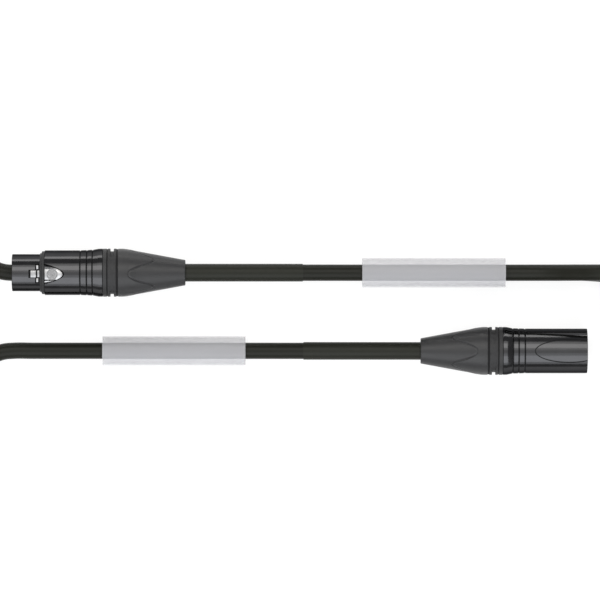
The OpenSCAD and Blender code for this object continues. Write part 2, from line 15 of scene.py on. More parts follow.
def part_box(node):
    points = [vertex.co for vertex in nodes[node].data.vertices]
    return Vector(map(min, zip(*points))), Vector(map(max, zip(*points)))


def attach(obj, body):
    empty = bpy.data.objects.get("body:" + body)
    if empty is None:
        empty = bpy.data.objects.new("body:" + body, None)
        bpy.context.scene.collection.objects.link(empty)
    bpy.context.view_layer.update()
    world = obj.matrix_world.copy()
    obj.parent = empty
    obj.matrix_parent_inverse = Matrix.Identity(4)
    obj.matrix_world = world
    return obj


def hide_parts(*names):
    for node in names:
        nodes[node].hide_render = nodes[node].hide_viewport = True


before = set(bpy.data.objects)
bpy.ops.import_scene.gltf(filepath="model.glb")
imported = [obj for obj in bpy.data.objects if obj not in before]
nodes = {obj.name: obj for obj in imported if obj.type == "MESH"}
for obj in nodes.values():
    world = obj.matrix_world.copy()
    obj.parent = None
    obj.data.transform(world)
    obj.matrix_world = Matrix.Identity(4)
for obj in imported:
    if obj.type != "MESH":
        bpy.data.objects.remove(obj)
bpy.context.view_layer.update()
scene = bpy.context.scene

# ---------------------------------------------------------------------------------------------
# Camera. It looks straight down on both connectors, from far enough away that the view is nearly
# flat, and takes in the connectors with the first stretch of cable behind each of them.
# ---------------------------------------------------------------------------------------------

LENS_MM = 400
SENSOR_MM = 36
VIEW_WIDTH = 0.2561         # what the picture's width takes in, at the mean height of the axes
VIEW_Y = 0.00505
MALE_AXIS_Z = sum(corner.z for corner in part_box("male_coding_ring")) / 2
FEMALE_AXIS_Z = sum(corner.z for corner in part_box("female_coding_ring")) / 2

lens = bpy.data.cameras.new("camera")
lens.lens = LENS_MM
lens.sensor_width = SENSOR_MM
camera = bpy.data.objects.new("camera", lens)
mean_level = (MALE_AXIS_Z + FEMALE_AXIS_Z) / 2
camera.location = (0, VIEW_Y, mean_level + VIEW_WIDTH * LENS_MM / SENSOR_MM)
scene.collection.objects.link(camera)
scene.camera = camera

# ---------------------------------------------------------------------------------------------
# Cable. A round jacket of satin black PVC with a slight olive cast, drawn over foil, a spiral
# shield and two insulated cores. It runs from one boot to the other, and its spare length is
# wound in a hank of five half turns beyond the male connector.
# ---------------------------------------------------------------------------------------------

CABLE_R = 0.0035
LINE_Y = 0.0167             # how far each connector's axis lies from the middle
FRONT_X = 0.12265           # how far each connector's front face lies from the middle
FEMALE_ROUTE = [
    (-0.035, 0.0167, 0.014), (-0.021, 0.0167, 0.0136), (-0.007, 0.0167, 0.0128),
    (0.007, 0.0167, 0.0116), (0.021, 0.0167, 0.0104), (0.035, 0.0167, 0.0093),
    (0.049, 0.0167, 0.0084), (0.063, 0.0167, 0.0081), (0.078, 0.0167, 0.0081),
    (0.092, 0.0167, 0.0081), (0.101, 0.0167, 0.009), (0.11, 0.0167, 0.0118),
    (0.119, 0.0167, 0.016), (0.128, 0.0167, 0.02), (0.137, 0.0167, 0.0222),
    (0.147, 0.0164, 0.0227), (0.16, 0.0152, 0.0228), (0.174, 0.0125, 0.0226),
    (0.187, 0.0088, 0.0223), (0.198, 0.0063, 0.0221),
]
RETURN_ROUTE = [
    (-0.1275, -0.0172, 0), (-0.1319, -0.0187, 0), (-0.1408, -0.0207, 0), (-0.1498, -0.0186, 0),
    (-0.1571, -0.0127, 0), (-0.1609, -0.0047, 0), (-0.1609, 0.0047, 0), (-0.1571, 0.0127, 0),
    (-0.1498, 0.0186, 0), (-0.1408, 0.0207, 0), (-0.1319, 0.0187, 0), (-0.1275, 0.0172, 0),
    (-0.123, 0.0167, 0), (-0.104, 0.0167, 0), (-0.084, 0.0167, 0), (-0.064, 0.0167, 0),
    (-0.044, 0.0167, 0), (-0.024, 0.0167, 0), (-0.004, 0.0167, 0), (0.016, 0.0167, 0),
    (0.036, 0.0167, 0), (0.056, 0.0167, 0), (0.076, 0.0167, 0), (0.096, 0.0167, 0),
    (0.11, 0.0167, 0), (0.122, 0.0167, 0), (0.134, 0.0155, 0), (0.146, 0.0124, 0),
    (0.158, 0.0081, 0), (0.17, 0.0034, 0), (0.182, -0.0009, 0.0005), (0.194, -0.0041, 0.0016),
    (0.2, -0.0052, 0.0022),
]
MALE_ROUTE = [
    (0.038, -0.0167, 0.0068), (0.024, -0.0167, 0.0064), (0.01, -0.0167, 0.0056),
    (-0.004, -0.0167, 0.0044), (-0.018, -0.0167, 0.0032), (-0.032, -0.0167, 0.0021),
    (-0.046, -0.0167, 0.0012), (-0.06, -0.0167, 0.0009), (-0.078, -0.0167, 0.0009),
    (-0.094, -0.0167, 0.0009), (-0.104, -0.0167, 0.0004), (-0.114, -0.0167, 0),
    (-0.123, -0.0167, 0),
]
HANK_LEFT = 0.1565
HANK_RIGHT = 0.2763
WAIST_X = (HANK_LEFT + HANK_RIGHT) / 2
WAIST_HALF = 0.0055
WAIST_LIFT = 0.0025
WAIST_STRAIGHT = 0.01
FOLD_R = 0.0207
TURN_STEP = 0.00184
LAYER_STEP = 0.0075
FOLDS = 5
FOLD_STEPS = 8
RUN_STEPS = 4               # stations on each half of a run


def turn_radius(angle):
    """The spiral goes in to the middle of the hank's length and out again."""
    return FOLD_R + TURN_STEP * abs(angle - 90 * FOLDS) / 360


def draw_in(x):
    """0 in the straight waist and 1 where a fold begins."""
    away = (abs(x - WAIST_X) - WAIST_STRAIGHT) / (HANK_RIGHT - WAIST_X - WAIST_STRAIGHT)
    return math.sin(math.radians(90 * min(1, max(0, away)))) ** 2


def run_point(i, x):
    outward = i % 2 == 0
    level = i // 2 + (0 if outward else (HANK_RIGHT - x) / (HANK_RIGHT - HANK_LEFT))
    half = WAIST_HALF + (turn_radius(180 * i) - WAIST_HALF) * draw_in(x)
    lift = level * LAYER_STEP + WAIST_LIFT * (1 - draw_in(x))
    return Vector((x, -half if outward else half, lift + CABLE_R))


def fold_point(i, degrees):
    side = 1 if i % 2 == 0 else -1
    r, a = turn_radius(180 * i + degrees), math.radians(degrees)
    x = (HANK_RIGHT if side > 0 else HANK_LEFT) + side * r * math.sin(a)
    return Vector((x, -side * r * math.cos(a), math.ceil(i / 2) * LAYER_STEP + CABLE_R))


def lifted(route):
    return [Vector((x, y, lift + CABLE_R)) for x, y, lift in route]


half_run = WAIST_X - WAIST_STRAIGHT - HANK_LEFT
stations = [HANK_LEFT + half_run * k / RUN_STEPS for k in range(RUN_STEPS + 1)]
stations += [HANK_RIGHT - half_run * k / RUN_STEPS for k in range(RUN_STEPS, -1, -1)]
hank = []
for i in range(FOLDS + 1):
    xs = stations[RUN_STEPS:] if i in (0, FOLDS) else stations
    hank += [run_point(i, x) for x in (xs if i % 2 == 0 else reversed(xs))]
    if i < FOLDS:
        hank += [fold_point(i, 180 * k / FOLD_STEPS) for k in range(1, FOLD_STEPS)]

female_tail = Vector((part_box("female_boot")[1].x, LINE_Y, FEMALE_AXIS_Z))
male_tail = Vector((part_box("male_boot")[0].x, -LINE_Y, MALE_AXIS_Z))
female_lead = [female_tail] + lifted(FEMALE_ROUTE)
male_lead = [male_tail] + lifted(MALE_ROUTE)
cable_path = female_lead + hank[::-1] + lifted(RETURN_ROUTE)[::-1] + male_lead[::-1]


def tube_curve(name, path, radius):
    """A round tube on one smooth open spline."""
    curve = bpy.data.curves.new(name, "CURVE")
    curve.dimensions = "3D"
    curve.resolution_u = 8
    curve.bevel_depth = radius
    curve.bevel_resolution = 7
    curve.use_fill_caps = True
    spline = curve.splines.new("BEZIER")
    spline.bezier_points.add(len(path) - 1)
    for knot, point in zip(spline.bezier_points, path):
        knot.co = point
        knot.handle_left_type = knot.handle_right_type = "AUTO"
    piece = bpy.data.objects.new(name, curve)
    scene.collection.objects.link(piece)
    return piece


cable = tube_curve("cable", cable_path, CABLE_R)


def new_material(name, colour, roughness, metallic=0.0):
    made = bpy.data.materials.new(name)
    made.use_nodes = True
    shader = made.node_tree.nodes["Principled BSDF"]
    shader.inputs["Base Color"].default_value = (*colour, 1)
    shader.inputs["Roughness"].default_value = roughness
    shader.inputs["Metallic"].default_value = metallic
    return made


def node_in(tree, kind, **settings):
    """Adds a node, with its sockets and properties set by name."""
    node = tree.nodes.new(kind)
    for key, value in settings.items():
        if hasattr(node, key):
            setattr(node, key, value)
        else:
            node.inputs[key.replace("_", " ")].default_value = value
    return node


# What nearly every surface here has, built once: a fine grain in its height, with broad, faint
# changes of tone and gloss. Streak stretches both along X, as on what is drawn or extruded.
finish_group = bpy.data.node_groups.new("surface_finish", "ShaderNodeTree")
for socket, kind, default in [
    ("Colour", "NodeSocketColor", (0.5, 0.5, 0.5, 1)), ("Tone Spread", "NodeSocketFloat", 0.1),
    ("Roughness", "NodeSocketFloat", 0.5), ("Gloss Spread", "NodeSocketFloat", 0.1),
    ("Grain Scale", "NodeSocketFloat", 2000.0), ("Grain Depth", "NodeSocketFloat", 0.00002),
    ("Streak", "NodeSocketFloat", 1.0), ("Patch Scale", "NodeSocketFloat", 160.0),
]:
    made_socket = finish_group.interface.new_socket(socket, in_out="INPUT", socket_type=kind)
    made_socket.default_value = default
for socket, kind in [
    ("Colour", "NodeSocketColor"), ("Roughness", "NodeSocketFloat"), ("Normal", "NodeSocketVector"),
]:
    finish_group.interface.new_socket(socket, in_out="OUTPUT", socket_type=kind)
g_in = finish_group.nodes.new("NodeGroupInput")
g_out = finish_group.nodes.new("NodeGroupOutput")
g_place = finish_group.nodes.new("ShaderNodeTexCoord")
g_stretch = node_in(finish_group, "ShaderNodeCombineXYZ", Y=1.0, Z=1.0)
g_scaled = node_in(finish_group, "ShaderNodeVectorMath", operation="MULTIPLY")
g_fine = node_in(finish_group, "ShaderNodeTexNoise", Detail=3.0, Roughness=0.6)
g_broad = node_in(finish_group, "ShaderNodeTexNoise", Detail=4.0, Roughness=0.55)
g_bump = node_in(finish_group, "ShaderNodeBump", Strength=1.0)
g_swing = node_in(
    finish_group, "ShaderNodeMapRange", From_Min=0.3, From_Max=0.7, To_Min=-1.0, To_Max=1.0,
)
g_tone = node_in(finish_group, "ShaderNodeMath", operation="MULTIPLY_ADD")
g_tone.inputs[2].default_value = 1.0
g_dye = node_in(finish_group, "ShaderNodeVectorMath", operation="SCALE")
g_gloss = node_in(finish_group, "ShaderNodeMath", operation="MULTIPLY_ADD")
for source, target in [
    (g_in.outputs["Streak"], g_stretch.inputs["X"]),
    (g_place.outputs["Object"], g_scaled.inputs[0]), (g_stretch.outputs[0], g_scaled.inputs[1]),
    (g_scaled.outputs[0], g_fine.inputs["Vector"]),
    (g_in.outputs["Grain Scale"], g_fine.inputs["Scale"]),
    (g_scaled.outputs[0], g_broad.inputs["Vector"]),
    (g_in.outputs["Patch Scale"], g_broad.inputs["Scale"]),
    (g_fine.outputs["Fac"], g_bump.inputs["Height"]),
    (g_in.outputs["Grain Depth"], g_bump.inputs["Distance"]),
    (g_broad.outputs["Fac"], g_swing.inputs["Value"]),
    (g_swing.outputs[0], g_tone.inputs[0]), (g_in.outputs["Tone Spread"], g_tone.inputs[1]),
    (g_in.outputs["Colour"], g_dye.inputs[0]), (g_tone.outputs[0], g_dye.inputs["Scale"]),
    (g_swing.outputs[0], g_gloss.inputs[0]), (g_in.outputs["Gloss Spread"], g_gloss.inputs[1]),
    (g_in.outputs["Roughness"], g_gloss.inputs[2]),
    (g_dye.outputs[0], g_out.inputs["Colour"]), (g_gloss.outputs[0], g_out.inputs["Roughness"]),
    (g_bump.outputs[0], g_out.inputs["Normal"]),
]:
    finish_group.links.new(source, target)


def finished(
    name, colour, roughness, tone=0.08, gloss=0.05, grain=2500, depth=0.00002, streak=1.0,
    metallic=0.0, shine=0.5, patch=160,
):
    """A material with the surface finish above and its own values for it."""
    made = new_material(name, colour, roughness, metallic)
    tree = made.node_tree
    effect = tree.nodes.new("ShaderNodeGroup")
    effect.node_tree = finish_group
    for socket, value in [
        ("Colour", (*colour, 1)), ("Tone Spread", tone), ("Roughness", roughness),
        ("Gloss Spread", gloss), ("Grain Scale", grain), ("Grain Depth", depth), ("Streak", streak),
        ("Patch Scale", patch),
    ]:
        effect.inputs[socket].default_value = value
    shader = tree.nodes["Principled BSDF"]
    shader.inputs["Specular IOR Level"].default_value = shine
    tree.links.new(effect.outputs["Colour"], shader.inputs["Base Color"])
    tree.links.new(effect.outputs["Roughness"], shader.inputs["Roughness"])
    tree.links.new(effect.outputs["Normal"], shader.inputs["Normal"])
    return made


def dress(material, *names):
    """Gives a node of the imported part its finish."""
    for name in names:
        node = nodes[name]
        if not node.material_slots:
            node.data.materials.append(material)
        for holder in node.material_slots:
            holder.material = material


jacket = finished(
    "cable_jacket", (0.0095, 0.0098, 0.007), 0.36, tone=0.07, gloss=0.05, grain=1500,
    depth=0.000012, streak=0.1, shine=0.12,
)
cable.data.materials.append(jacket)
dress(jacket, "female_cable_end", "male_cable_end")
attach(cable, "cable")
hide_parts("cord_female_lead", "cord_hank", "cord_return", "cord_male_lead")

# ---------------------------------------------------------------------------------------------
# Shrink sleeves. A thin, matte polyolefin tube is shrunk onto the cable behind each boot, where
# it starts inside the boot and ends in a plain cut edge.
# ---------------------------------------------------------------------------------------------

SLEEVE_R = 0.00378
SLEEVE_LENGTH = 0.05
SLEEVE_TUCK = 0.0035        # how far it starts inside the boot
SLEEVE_KNOTS = 7            # points of the lead that its own path needs

sleeve_film = finished(
    "shrink_sleeve", (0.0122, 0.0128, 0.009), 0.4, tone=0.06, gloss=0.06, grain=1800,
    depth=0.00001, streak=0.3, shine=0.14,
)
for name, lead, way in [("female_sleeve", female_lead, 1), ("male_sleeve", male_lead, -1)]:
    tail = lead[0]
    route = [tail - Vector((way * SLEEVE_TUCK, 0, 0))] + lead[:SLEEVE_KNOTS]
    sleeve = tube_curve(name + "_film", route, SLEEVE_R)
    whole = sleeve.data.splines[0].calc_length()
    sleeve.data.bevel_factor_mapping_end = "SPLINE"
    sleeve.data.bevel_factor_end = (SLEEVE_TUCK + SLEEVE_LENGTH) / whole
    sleeve.data.materials.append(sleeve_film)
    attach(sleeve, "cable")
    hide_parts(name)

# ---------------------------------------------------------------------------------------------
# Label tubes. A loose tube of clear, slightly frosted vinyl slides on the cable behind each
# connector, ready for a written label. It is cut square at both ends.
# ---------------------------------------------------------------------------------------------

LABEL_R = 6.25
LABEL_WALL = 0.5
CLEARNESS = 0.71            # how much of what lies behind one wall of the tube shows through
MM = Matrix.Scale(0.001, 4)


def start_faces_alike(bm):
    """Starts each wide face at its first corner along X, so that every run splits it alike."""
    for face in [face for face in bm.faces if len(face.verts) > 4]:
        corners, finish = list(face.verts), face.material_index
        places = [[round(along, 3) for along in corner.co] for corner in corners]
        first = places.index(min(places))
        bm.faces.remove(face)
        bm.faces.new(corners[first:] + corners[:first]).material_index = finish


def mesh_piece(name, bm, place, material, sharp=35):
    """Turns a bmesh in millimetres into a piece whose place is in its mesh."""
    start_faces_alike(bm)
    mesh = bpy.data.meshes.new(name)
    bm.to_mesh(mesh)
    bm.free()
    mesh.transform(place)
    mesh.materials.append(material)
    mesh.shade_smooth()
    mesh.set_sharp_from_angle(angle=math.radians(sharp))
    piece = bpy.data.objects.new(name, mesh)
    scene.collection.objects.link(piece)
    return piece


def turned(outline, steps=192):
    """A closed outline of (s, r, rounding) spun round the connector's axis."""
    bm = bmesh.new()
    ring = [bm.verts.new((s, 0, r)) for s, r, _ in outline]
    for a, b in zip(ring, ring[1:] + ring[:1]):
        bm.edges.new((a, b))
    for rounding in sorted({point[2] for point in outline if point[2]}):
        corners = [vert for vert, point in zip(ring, outline) if point[2] == rounding]
        bmesh.ops.bevel(
            bm, geom=corners, offset=rounding, offset_type="OFFSET", segments=4, profile=0.5,
            affect="VERTICES", material=-1,
        )
    bmesh.ops.spin(
        bm, geom=bm.verts[:] + bm.edges[:], cent=(0, 0, 0), axis=(1, 0, 0), angle=2 * math.pi,
        steps=steps, use_merge=True,
    )
    bmesh.ops.remove_doubles(bm, verts=bm.verts, dist=1e-5)
    bmesh.ops.recalc_face_normals(bm, faces=bm.faces)
    return bm


vinyl = finished(
    "label_vinyl", (0.63, 0.63, 0.66), 0.4, tone=0.015, gloss=0.08, grain=900, depth=0.00001,
    streak=0.15,
)
vinyl.node_tree.nodes["Principled BSDF"].inputs["Alpha"].default_value = 1 - CLEARNESS
for name, body in [("female_label_tube", "female_label"), ("male_label_tube", "male_label")]:
    low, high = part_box(name)
    middle = (low + high) / 2
    length = (high.x - low.x) * 1000
    bm = turned([
        (0, LABEL_R - LABEL_WALL, 0.08), (0, LABEL_R, 0.12), (length, LABEL_R, 0.12),
        (length, LABEL_R - LABEL_WALL, 0.08),
    ], steps=96)
    place = Matrix.Translation((low.x, middle.y, middle.z)) @ MM
    label = mesh_piece(name + "_vinyl", bm, place, vinyl, sharp=60)
    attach(label, body)
    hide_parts(name)

# ---------------------------------------------------------------------------------------------
# Tie. A strap of woven hook-and-loop tape is wrapped round the waist of the hank and closed on
# itself, with its free end lying over the first layer.
# ---------------------------------------------------------------------------------------------

TIE_WIDTH = 18
TAPE_T = 0.9
TAPE_SLIP = 0.05            # between its two layers
TAPE_BEND = 3.0             # radius of the tape's inner bends
tie_low, tie_high = (corner * 1000 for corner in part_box("hank_tie"))


def wrapped_tape(corners, closed, rounding):
    """The inner face of tape of the tie's width that follows an outline in (y, z)."""
    bm = bmesh.new()
    line = [bm.verts.new((WAIST_X * 1000 - TIE_WIDTH / 2, y, z)) for y, z in corners]
    pairs = zip(line, line[1:] + line[:1] if closed else line[1:])
    for a, b in pairs:
        bm.edges.new((a, b))
    bent = line if closed else line[1:-1]
    bmesh.ops.bevel(
        bm, geom=bent, offset=rounding, offset_type="OFFSET", segments=8, profile=0.5,
        affect="VERTICES", material=-1,
    )
    made = bmesh.ops.extrude_edge_only(bm, edges=bm.edges[:])
    moved = [part for part in made["geom"] if isinstance(part, bmesh.types.BMVert)]
    bmesh.ops.translate(bm, verts=moved, vec=(TIE_WIDTH, 0, 0))
    return bm


half_y = (tie_high.y - tie_low.y) / 2 - 2 * TAPE_T
mid_z = (tie_high.z + tie_low.z) / 2
half_z = (tie_high.z - tie_low.z) / 2 - 2 * TAPE_T
tape = bpy.data.materials.new("hook_and_loop_tape")
tape.use_nodes = True
tape_tree = tape.node_tree
tape_shader = tape_tree.nodes["Principled BSDF"]
tape_shader.inputs["Roughness"].default_value = 0.92
tape_shader.inputs["Sheen Weight"].default_value = 0.35
tape_shader.inputs["Sheen Roughness"].default_value = 0.5
tape_place = tape_tree.nodes.new("ShaderNodeTexCoord")
tape_fuzz = node_in(tape_tree, "ShaderNodeTexNoise", Scale=1800.0, Detail=5.0, Roughness=0.7)
tape_rows = node_in(
    tape_tree, "ShaderNodeTexWave", Scale=330.0, Distortion=2.5, Detail=2.0, Detail_Scale=3.0,
)
tape_mix = node_in(tape_tree, "ShaderNodeMath", operation="MULTIPLY_ADD")
tape_mix.inputs[1].default_value = 0.6
tape_colour = tape_tree.nodes.new("ShaderNodeValToRGB")
tape_colour.color_ramp.elements[0].color = (0.008, 0.008, 0.009, 1)
tape_colour.color_ramp.elements[1].color = (0.04, 0.04, 0.043, 1)
tape_bump = node_in(tape_tree, "ShaderNodeBump", Strength=1.0, Distance=0.00018)
for source, target in [
    (tape_place.outputs["Object"], tape_fuzz.inputs["Vector"]),
    (tape_place.outputs["Object"], tape_rows.inputs["Vector"]),
    (tape_rows.outputs["Fac"], tape_mix.inputs[0]), (tape_fuzz.outputs["Fac"], tape_mix.inputs[2]),
    (tape_mix.outputs[0], tape_colour.inputs[0]), (tape_mix.outputs[0], tape_bump.inputs["Height"]),
    (tape_colour.outputs[0], tape_shader.inputs["Base Color"]),
    (tape_bump.outputs[0], tape_shader.inputs["Normal"]),
]:
    tape_tree.links.new(source, target)

first_layer = wrapped_tape([
    (-half_y, mid_z - half_z), (half_y, mid_z - half_z), (half_y, mid_z + half_z),
    (-half_y, mid_z + half_z),
], True, TAPE_BEND)
over_y, over_z = half_y + TAPE_T + TAPE_SLIP, half_z + TAPE_T + TAPE_SLIP
flap_end = mid_z - over_z * 0.55
flap = wrapped_tape(
    [(0, mid_z + over_z), (-over_y, mid_z + over_z), (-over_y, flap_end)], False,
    TAPE_BEND + TAPE_T,
)
bmesh.ops.recalc_face_normals(first_layer, faces=first_layer.faces)
for name, bm in [("hank_tie_wrap", first_layer), ("hank_tie_end", flap)]:
    tie_piece = mesh_piece(name, bm, MM, tape, sharp=50)
    wall = tie_piece.modifiers.new("thickness", "SOLIDIFY")
    wall.thickness = (TAPE_T - TAPE_SLIP) * 0.001
    wall.offset = 1.0
    edge = tie_piece.modifiers.new("edge", "BEVEL")
    edge.width = 0.0002
    edge.segments = 2
    edge.limit_method = "ANGLE"
    edge.angle_limit = math.radians(50)
    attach(tie_piece, "cable")
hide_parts("hank_tie")

# ---------------------------------------------------------------------------------------------
# Shells. Both are turned from zinc, polished and plated in black chrome. The female's has a slim
# nose with the hook's window in it, and an arched window for the latch. The male's is an open
# socket with a half ellipse engraved on its latch side. Both flare to a collar at the rear.
# ---------------------------------------------------------------------------------------------

FEMALE_ROLL = math.radians(4)
FEMALE = (
    Matrix.Translation((-FRONT_X, LINE_Y, FEMALE_AXIS_Z))
    @ Matrix.Rotation(FEMALE_ROLL, 4, "X") @ MM
)
MALE = (
    Matrix.Translation((FRONT_X, -LINE_Y, MALE_AXIS_Z))
    @ Matrix.Rotation(math.pi, 4, "Z") @ MM
)
NOSE_R = 7.925
SHELL_R = 9.55
COLLAR_R = 10.25
BORE_R = 8.35
BODY_S = 13.9
FEMALE_LEN = 38.65
MALE_LEN = 36.0
SOCKET_R = 8.05
SOCKET_RELIEF = 0.16        # how much wider the socket is behind its lip
INSERT_R = 7.125            # the female insert's seat
CUT_FROM, CUT_TO = 3, 12    # heights between which the windows are cut
ARCH_LEN = 8.5
ARCH_HALF = 4.42
GROOVE_HALF = 0.28
GROOVE_DEPTH = 0.28


def loose_piece(bm):
    """A throwaway object in millimetres, for a Boolean."""
    mesh = bpy.data.meshes.new("loose")
    bm.to_mesh(mesh)
    bm.free()
    piece = bpy.data.objects.new("loose", mesh)
    scene.collection.objects.link(piece)
    return piece


def combined(target, others, operation="DIFFERENCE"):
    """A loose piece with others cut from it, or kept to what it shares with them."""
    for other in others:
        step = target.modifiers.new("step", "BOOLEAN")
        step.operation = operation
        step.solver = "EXACT"
        step.object = other
    depsgraph = bpy.context.evaluated_depsgraph_get()
    result = bpy.data.meshes.new_from_object(target.evaluated_get(depsgraph))
    target.modifiers.clear()
    target.data = result
    for other in others:
        bpy.data.objects.remove(other)
    return target


def settled(target):
    """A loose piece back as a bmesh, with stray doubles from the Booleans merged."""
    bm = bmesh.new()
    bm.from_mesh(target.data)
    bmesh.ops.remove_doubles(bm, verts=bm.verts, dist=1e-4)
    bmesh.ops.dissolve_degenerate(bm, edges=bm.edges, dist=1e-4)
    bpy.data.objects.remove(target)
    return bm


def block(s0, s1, half, z0, z1, round_edges=0.0, centre_y=0.0):
    """A box between two places of s and two heights, with half its width to each side."""
    bm = bmesh.new()
    bmesh.ops.create_cube(bm, size=1)
    bmesh.ops.scale(bm, verts=bm.verts, vec=(s1 - s0, 2 * half, z1 - z0))
    bmesh.ops.translate(bm, verts=bm.verts, vec=((s0 + s1) / 2, centre_y, (z0 + z1) / 2))
    if round_edges:
        bmesh.ops.bevel(
            bm, geom=bm.edges[:], offset=round_edges, offset_type="OFFSET", segments=3, profile=0.5,
            affect="EDGES", material=-1,
        )
    return bm


def prism(points, z0, z1):
    """An outline of (s, y) raised from z0 to z1."""
    bm = bmesh.new()
    face = bm.faces.new([bm.verts.new((s, y, z0)) for s, y in points])
    made = bmesh.ops.extrude_face_region(bm, geom=[face])
    top = [part for part in made["geom"] if isinstance(part, bmesh.types.BMVert)]
    bmesh.ops.translate(bm, verts=top, vec=(0, 0, z1 - z0))
    bmesh.ops.recalc_face_normals(bm, faces=bm.faces)
    return bm


def arch(front, length, half, steps=20):
    """The latch window's outline, which narrows to its tip as the root of the distance to it."""
    side = [
        (front + length * (1 - (k / steps) ** 2), half * k / steps) for k in range(steps, -1, -1)
    ]
    return [(s, -y) for s, y in side] + side[-2::-1]


def round_bar(s0, s1, r, sides=96):
    bm = bmesh.new()
    bmesh.ops.create_cone(bm, cap_ends=True, segments=sides, radius1=r, radius2=r, depth=s1 - s0)
    bmesh.ops.rotate(bm, verts=bm.verts, matrix=Matrix.Rotation(math.pi / 2, 3, "Y"))
    bmesh.ops.translate(bm, verts=bm.verts, vec=((s0 + s1) / 2, 0, 0))
    return bm


def grooved(outline, after, grooves, r_at):
    """Adds rounded V grooves at some places of s to an outline, after so many of its points."""
    cut = []
    for s in grooves:
        r = r_at(s)
        cut += [(s - GROOVE_HALF, r, 0.1), (s, r - GROOVE_DEPTH, 0.06), (s + GROOVE_HALF, r, 0.1)]
    return outline[:after] + cut + outline[after:]


black_chrome = finished(
    "black_chrome", (0.049, 0.049, 0.051), 0.14, tone=0.05, gloss=0.035, grain=700,
    depth=0.0000015, metallic=1.0,
)
chrome_shader = black_chrome.node_tree.nodes["Principled BSDF"]
chrome_shader.inputs["Specular Tint"].default_value = (0.38, 0.38, 0.38, 1)
# Dull black: the engraving's own colour, and painted shade on the walls of the female's windows.
engraving_and_painted_shade_black = finished("engraving_and_painted_shade_black", (0.008, 0.008, 0.009), 0.5, shine=0.2)

female_outline = [
    (0, INSERT_R, 0.1), (0, NOSE_R, 0.3), (BODY_S, NOSE_R - 0.03, 0.0), (BODY_S, SHELL_R, 0.18),
    (28.5, SHELL_R, 0.0), (34.6, 9.8, 0.3), (36.9, COLLAR_R, 0.5), (FEMALE_LEN, COLLAR_R, 0.15),
    (FEMALE_LEN, BORE_R, 0.1), (14.8, BORE_R, 0.0), (14.8, INSERT_R, 0.0),
]


def female_flare(s):
    """The body's radius at its grooves, which grows faster behind the second one."""
    slow, fast = [max(0, min(1, (s - start) / span)) for start, span in ((28.3, 3.2), (31.5, 2.7))]
    return SHELL_R + 0.09 * slow + 0.16 * fast


female_outline = grooved(female_outline, 5, (29.05, 31.85, 34.25), female_flare)
shell = loose_piece(turned(female_outline))
combined(shell, [
    loose_piece(block(7.2, 12.1, 1.75, CUT_FROM, CUT_TO)),
    loose_piece(block(10.0, 12.1, 4.15, CUT_FROM, CUT_TO)),
    loose_piece(prism(arch(BODY_S - 0.01, ARCH_LEN, ARCH_HALF), CUT_FROM, CUT_TO)),
])
bm = settled(shell)
for face in bm.faces:           # the walls of both windows are dull black, as painted shade round the latch
    s, y, z = face.calc_center_median()
    outward = face.normal.dot(Vector((0, y, z)).normalized())
    if z > 6 and abs(y) < 5 and 7.1 < s < 22.6 and not outward > 0.9:
        face.material_index = 1
female_shell = mesh_piece("female_shell_plated", bm, FEMALE, black_chrome, sharp=30)
female_shell.data.materials.append(engraving_and_painted_shade_black)
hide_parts("female_shell")

ELLIPSE_S = 7.8
ELLIPSE_LONG = 14.55
ELLIPSE_HALF = 4.8
ENGRAVED_W = 0.48
ENGRAVED_DEPTH = 0.22


def ellipse_bar(grow):
    """A tall bar whose section is the engraved ellipse, made larger or smaller all round."""
    bm = bmesh.new()
    bmesh.ops.create_cone(bm, cap_ends=True, segments=160, radius1=1, radius2=1, depth=8)
    bmesh.ops.scale(bm, verts=bm.verts, vec=(ELLIPSE_LONG + grow, ELLIPSE_HALF + grow, 1))
    bmesh.ops.translate(bm, verts=bm.verts, vec=(ELLIPSE_S, 0, 8))
    return bm


male_outline = [
    (0, SOCKET_R, 0.2), (0, SHELL_R, 0.2), (26.2, SHELL_R, 0.0), (32.3, 9.8, 0.2),
    (34.0, 10.16, 0.25), (34.6, COLLAR_R, 0.2), (MALE_LEN, COLLAR_R, 0.15),
    (MALE_LEN, BORE_R, 0.1), (17.6, BORE_R, 0.0), (17.6, SOCKET_R + SOCKET_RELIEF, 0.0),
    (2.1, SOCKET_R + SOCKET_RELIEF, 0.0), (2.1, SOCKET_R, 0.0),
]
male_outline = grooved(
    male_outline, 3, (26.6, 29.25, 31.7), lambda s: SHELL_R + 0.031 * (s - 26.2),
)
engraving = combined(loose_piece(ellipse_bar(ENGRAVED_W / 2)), [
    loose_piece(ellipse_bar(-ENGRAVED_W / 2)),
    loose_piece(round_bar(-12, 30, SHELL_R - ENGRAVED_DEPTH, 192)),
])
shell = loose_piece(turned(male_outline))
combined(shell, [engraving, loose_piece(block(2.2, 11, 1.9, 0, SHELL_R - 0.7))])
bm = settled(shell)
for face in bm.faces:           # the engraved floor takes the dull black
    s, y, z = face.calc_center_median()
    r = math.hypot(y, z)
    ellipse = math.hypot((s - ELLIPSE_S) / ELLIPSE_LONG, y / ELLIPSE_HALF)
    sunk = SHELL_R - ENGRAVED_DEPTH - 0.02 < r < SHELL_R - 0.01
    if z > 7 and sunk and abs(ellipse - 1) < 0.06:
        face.material_index = 1
male_shell = mesh_piece("male_shell_plated", bm, MALE, black_chrome, sharp=30)
male_shell.data.materials.append(engraving_and_painted_shade_black)
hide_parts("male_shell")
for piece in (female_shell, male_shell):
    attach(piece, "cable")

# ---------------------------------------------------------------------------------------------
# Rings. A stepped plastic ring closes the gap between the female's nose and its body. A coding
# ring with two notches turns freely between each gland's flange and its boot.
# ---------------------------------------------------------------------------------------------

